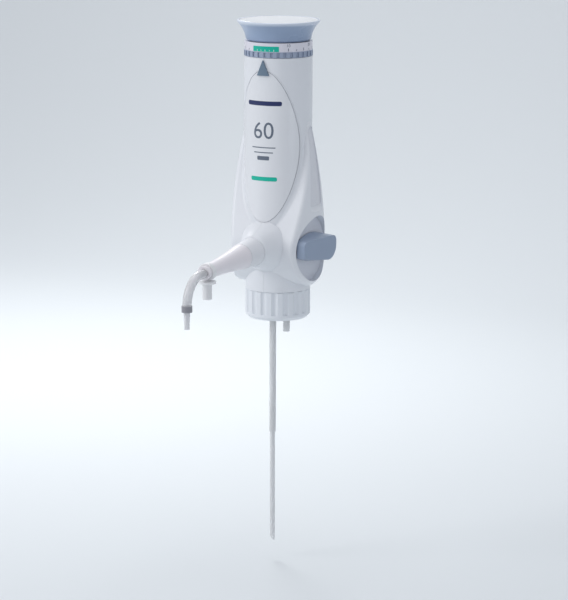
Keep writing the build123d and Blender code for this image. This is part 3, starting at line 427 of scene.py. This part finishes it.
# Inset strips
# Long tapered pads in the wings, a shade greyer than the shells. They are moulded by themselves and
# pressed into pockets.
inlay_plastic = moulded("inlay_plastic", (0.74, 0.75, 0.79), 0.42)
dress(inlay_plastic, "side_inlay_right", "side_inlay_left")

# Covers
# Flat light-grey discs at the bottom of the round recess in each lobe. The right one has the valve's
# spindle through it, the left one is plain, and both are pressed in.
cover_plastic = moulded("cover_plastic", (0.68, 0.7, 0.76), 0.38)
dress(cover_plastic, "valve_cover", "left_cover")

# Valve lever
# A grey-blue grip bar, thicker at the back, with softly rounded ends. It is moulded solid and pushed on the
# valve's spindle.
lever_plastic = moulded("lever_plastic", (0.3, 0.37, 0.49), 0.3, grain=0.05, sheen=0.2)
dress(lever_plastic, "lever")

# Knob
# A flared grey-blue cap over the piston rod, moulded of polypropylene and held by a screw. Its colour turns
# paler over the top few millimetres, up to the rim, and it is closed by a shallow glossy white dish.
PALE_COLOUR = (0.66, 0.72, 0.82, 1)
PALE_START = 0.0032
PALE_FULL = 0.0009

knob_plastic = moulded("knob_plastic", (0.29, 0.38, 0.54), 0.28, grain=0.04, sheen=0.35)
dress(knob_plastic, "knob")
knob_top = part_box("knob")[1][2]
nodes, links = knob_plastic.node_tree.nodes, knob_plastic.node_tree.links
knob_shader = nodes["Principled BSDF"]
knob_tint = knob_shader.inputs["Base Color"].links[0].from_socket
knob_place = nodes.new("ShaderNodeTexCoord")
knob_split = nodes.new("ShaderNodeSeparateXYZ")
# The knob's colour fades to the paler colour over its top few millimetres
knob_fade = nodes.new("ShaderNodeMapRange")
knob_fade.inputs["From Min"].default_value = knob_top - PALE_START
knob_fade.inputs["From Max"].default_value = knob_top - PALE_FULL
knob_mix = nodes.new("ShaderNodeMixRGB")
knob_mix.inputs["Color2"].default_value = PALE_COLOUR
links.new(knob_place.outputs["Object"], knob_split.inputs["Vector"])
links.new(knob_split.outputs["Z"], knob_fade.inputs["Value"])
links.new(knob_fade.outputs["Result"], knob_mix.inputs["Fac"])
links.new(knob_tint, knob_mix.inputs["Color1"])
links.new(knob_mix.outputs["Color"], knob_shader.inputs["Base Color"])
disc_plastic = moulded("disc_plastic", (0.86, 0.87, 0.885), 0.2, grain=0.01, sheen=0.3)
dress(disc_plastic, "knob_disc")

# Setting ring and scale band
# The knurled grey ring that sets the volume, with a white band above it that carries the scale. The band is
# a thin moulded sleeve, pressed on the ring so that both turn as one.
ring_plastic = moulded("ring_plastic", (0.34, 0.4, 0.52), 0.36)
dress(ring_plastic, "setting_ring")
band_plastic = moulded("band_plastic", (0.78, 0.77, 0.84), 0.22, grain=0.01)
dress(band_plastic, "scale_band")

# Scale print
# The volume scale round the band: a green block with light marks, then long and short strokes and plain
# numbers. The band is printed before it is pressed on the ring.
BAND_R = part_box("scale_band")[1][0]
BAND_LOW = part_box("scale_band")[0][2]
BLOCK_FROM = math.radians(-20.7)
BLOCK_TO = math.radians(26.8)
BLOCK_MIDDLE = (BLOCK_FROM + BLOCK_TO) / 2
BLOCK_HEIGHT = 0.0042
BLOCK_CORNER = 0.0003
BLOCK_RISE = 0.0024
BLOCK_MARGIN = 0.05
MARKS = 5
MARK_STEP = math.radians(7.5)
MARK_WIDTH = 0.0004
MARK_LONG = 0.0015
MARK_SHORT = 0.0009
MARK_CORNER = 0.0001
MARK_RISE = 0.0013
STROKES = 24
FIRST_STROKE = math.radians(42.8)
STROKE_STEP = math.radians(15)
STROKE_WIDTH = 0.0006
STROKE_LONG = 0.0022
STROKE_SHORT = 0.0013
STROKE_CORNER = 0.00012
STROKE_RISE = 0.0008
NUMBERS = ("10", "20", "30", "40", "50", "60")
NUMBER_STEP = math.radians(45)
NUMBER_SIZE = 0.0034
NUMBER_RISE = 0.0050


def print_on_band(piece, name, ink, angle, rise, radius=BAND_R):
    finish_print(piece, name, ink, "volume_ring", radius, angle, BAND_LOW + rise)


block = printed_bar((BLOCK_TO - BLOCK_FROM) * BAND_R, BLOCK_HEIGHT, BLOCK_CORNER)
print_on_band(block, "scale_green_block", ink_green, BLOCK_MIDDLE, BLOCK_RISE)
ink_white = moulded("ink_white", (0.86, 0.88, 0.88), 0.3, grain=0.02)
for i in range(MARKS):
    from_middle = i - MARKS // 2
    mark = printed_bar(MARK_WIDTH, MARK_SHORT if from_middle % 2 else MARK_LONG, MARK_CORNER)
    mark_angle = BLOCK_MIDDLE + from_middle * MARK_STEP
    print_on_band(mark, f"scale_light_{i + 1}", ink_white, mark_angle, MARK_RISE, BAND_R + INK_THICKNESS)
for i in range(STROKES):
    angle = FIRST_STROKE + i * STROKE_STEP
    # The strokes stop short of the green block
    if angle - 2 * math.pi > BLOCK_FROM - BLOCK_MARGIN:
        continue
    tall = STROKE_SHORT if i % 2 else STROKE_LONG
    stroke = printed_bar(STROKE_WIDTH, tall, STROKE_CORNER)
    print_on_band(stroke, f"scale_stroke_{i + 1}", ink_grey, angle, STROKE_RISE + tall / 2)
for i, text in enumerate(NUMBERS):
    ink = ink_green if text == NUMBERS[-1] else ink_grey
    number = printed_number(text, NUMBER_SIZE)
    print_on_band(number, f"scale_number_{text}", ink, FIRST_STROKE + i * NUMBER_STEP, NUMBER_RISE)

# Spout
# A white socket in the housing's boss, a warm-grey translucent sleeve over the discharge tube, and the
# bent tube itself, drawn from clear fluoropolymer, with its grey ring and slim tip.
socket_plastic = moulded("socket_plastic", (0.78, 0.79, 0.82), 0.3, depth=0.2)
dress(socket_plastic, "spout_socket")
sleeve_plastic = moulded("sleeve_plastic", (0.83, 0.8, 0.83), 0.3, depth=0.4)
dress(sleeve_plastic, "spout_sleeve")
ring_grey = moulded("ring_grey", (0.3, 0.3, 0.33), 0.3)
dress(ring_grey, "tip_ring")
HAZE_SCALE = 60
HAZE_SPREAD = 0.06


def clear(name, tint, roughness, ior, milk=0.0):
    """See-through wall with slightly uneven gloss, and milk for the share that scatters."""
    material = bpy.data.materials.new(name)
    material.use_nodes = True
    nodes, links = material.node_tree.nodes, material.node_tree.links
    shader = nodes["Principled BSDF"]
    shader.inputs["Base Color"].default_value = (*tint, 1)
    shader.inputs["Transmission Weight"].default_value = 1 - milk
    shader.inputs["IOR"].default_value = ior
    place = nodes.new("ShaderNodeTexCoord")
    haze = nodes.new("ShaderNodeTexNoise")
    haze.inputs["Scale"].default_value = HAZE_SCALE
    gloss = nodes.new("ShaderNodeMapRange")
    gloss.inputs["To Min"].default_value = roughness
    gloss.inputs["To Max"].default_value = roughness + HAZE_SPREAD
    links.new(place.outputs["Object"], haze.inputs["Vector"])
    links.new(haze.outputs["Fac"], gloss.inputs["Value"])
    links.new(gloss.outputs["Result"], shader.inputs["Roughness"])
    return material


TUBE_IOR = 1.34
tube_clear = clear("tube_clear", (0.97, 0.97, 0.985), 0.06, TUBE_IOR, milk=0.45)
dress(tube_clear, "discharge_tube", "nozzle_tip")

# Closing cap and its holder
# A soft translucent cap with a round flange, parked on a peg under the sleeve's end. Cap and holder are
# moulded of polyethylene, and the holder's ring sits on the sleeve.
cap_plastic = moulded("cap_plastic", (0.82, 0.82, 0.83), 0.3, depth=0.5)
dress(cap_plastic, "closing_cap", "cap_holder")

# Intake and return tubes
# Thin-walled natural fluoropolymer tubes, milky and slightly see-through. They are drawn and cut to
# length, and the lower intake tube slides in the upper one and has a slanted end.
tube_milky = clear("tube_milky", (0.95, 0.96, 0.97), 0.2, TUBE_IOR, milk=0.6)
dress(tube_milky, "intake_tube", "intake_tube_lower", "return_tube")

# Valve block and its fittings
# White machined fluoropolymer parts inside the housing, with softer natural seals and seats pressed in.
# The measuring cylinder is clear glass, and the piston and the valve balls are ground ceramic.
GLASS_IOR = 1.47
block_plastic = moulded("block_plastic", (0.8, 0.81, 0.82), 0.4, depth=0.2)
dress(block_plastic, "valve_block", "cylinder_head", "discharge_plug", "spindle_bush", "piston_rod",
      "cam_sleeve")
natural_plastic = moulded("natural_plastic", (0.78, 0.78, 0.77), 0.35, depth=0.4)
dress(natural_plastic, "bottle_seal", "cylinder_gasket", "rod_wiper", "intake_valve", "discharge_seat",
      "valve_spindle", "piston_seals")
cylinder_glass = clear("cylinder_glass", (0.97, 0.98, 0.98), 0.01, GLASS_IOR)
dress(cylinder_glass, "glass_cylinder")
ceramic = moulded("ceramic", (0.82, 0.8, 0.75), 0.12, grain=0.0)
dress(ceramic, "piston", "intake_ball", "discharge_ball")
seal_rubber = moulded("seal_rubber", (0.012, 0.012, 0.013), 0.55)
dress(seal_rubber, "spindle_seals")

# Knob screw
# A plain steel screw, turned and rolled, that holds the knob on the piston rod. The white dish hides its
# head.
screw_steel = moulded("screw_steel", (0.5, 0.5, 0.52), 0.3, grain=0.0)
screw_steel.node_tree.nodes["Principled BSDF"].inputs["Metallic"].default_value = 1.0
dress(screw_steel, "knob_screw")
